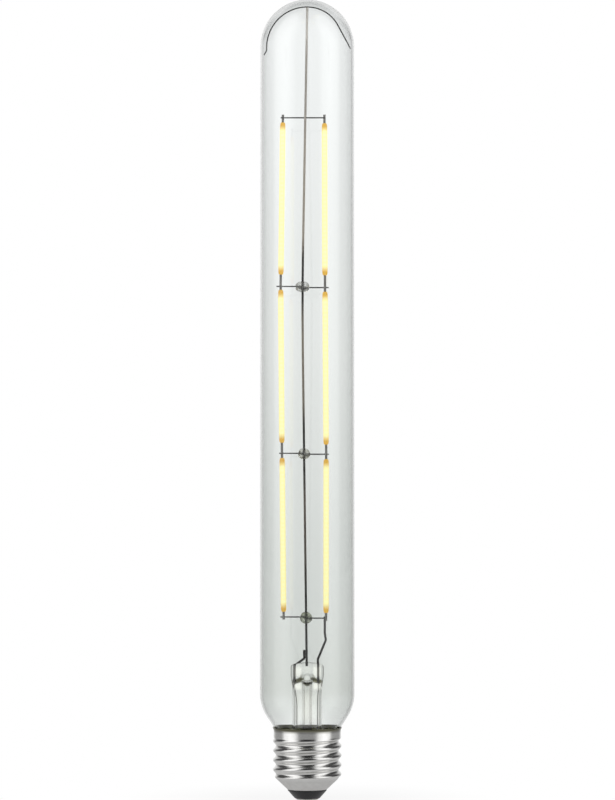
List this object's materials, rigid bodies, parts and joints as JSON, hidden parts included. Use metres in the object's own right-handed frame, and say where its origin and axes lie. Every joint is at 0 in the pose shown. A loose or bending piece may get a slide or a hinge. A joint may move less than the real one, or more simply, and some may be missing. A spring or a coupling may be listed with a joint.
{
  "type": "light bulb",
  "caption": "Clear tubular filament lamp with a domed end and a screw cap, its glowing filaments in two columns along a central rod.",
  "frame": {"origin": "centre of the contact's flat tip, at the foot of the cap", "axes": "+Z along the lamp's axis from the contact to the dome, +X to the right in the picture, +Y away from the viewer"},
  "size_m": [0.0364, 0.0364, 0.31],
  "materials": {
    "clear_glass": "clear, polished",
    "bead_glass": "clear, streaked",
    "black_glass": "glossy black",
    "nickel_plate": "bright nickel plate",
    "contact_metal": "tinned, satin",
    "cement": "dark, matt",
    "dark_wire": "dark oxide",
    "spring_wire": "grey, satin",
    "lead_wire": "grey, satin",
    "tab_metal": "grey, satin",
    "filament_coat": "translucent, lit",
    "board_laminate": "matt laminate",
    "chip_plastic": "matt black",
    "can_sleeve": "dark sleeve",
    "resistor_body": "lacquered",
    "hook_up_wire": "bare"
  },
  "bodies": {
    "root": {"support_rod": "dark_wire", "centring_spring": "spring_wire", "cross_wire_top": "dark_wire", "cross_wire_upper": "dark_wire", "cross_wire_middle": "dark_wire", "cross_wire_lower": "dark_wire", "bead_upper": "bead_glass", "bead_middle": "bead_glass", "bead_lower": "bead_glass", "filament_left_upper": "filament_coat", "tab_left_upper_top": "tab_metal", "tab_left_upper_bottom": "tab_metal", "filament_left_middle": "filament_coat", "tab_left_middle_top": "tab_metal", "tab_left_middle_bottom": "tab_metal", "filament_left_lower": "filament_coat", "tab_left_lower_top": "tab_metal", "tab_left_lower_bottom": "tab_metal", "filament_right_upper": "filament_coat", "tab_right_upper_top": "tab_metal", "tab_right_upper_bottom": "tab_metal", "filament_right_middle": "filament_coat", "tab_right_middle_top": "tab_metal", "tab_right_middle_bottom": "tab_metal", "filament_right_lower": "filament_coat", "tab_right_lower_top": "tab_metal", "tab_right_lower_bottom": "tab_metal", "inner_lead_left": "dark_wire", "outer_lead_left": "lead_wire", "inner_lead_right": "dark_wire", "outer_lead_right": "lead_wire", "stem_tube": "clear_glass", "exhaust_tube": "clear_glass", "glass_envelope": "clear_glass", "screw_shell": "nickel_plate", "cap_insulator": "black_glass", "centre_contact": "contact_metal", "capping_cement": "cement", "driver_board": "board_laminate", "bridge_rectifier": "chip_plastic", "driver_chip": "chip_plastic", "smoothing_capacitor": "can_sleeve", "fuse_resistor": "resistor_body", "live_wire": "hook_up_wire", "neutral_wire": "lead_wire"}
  },
  "joints": []
}
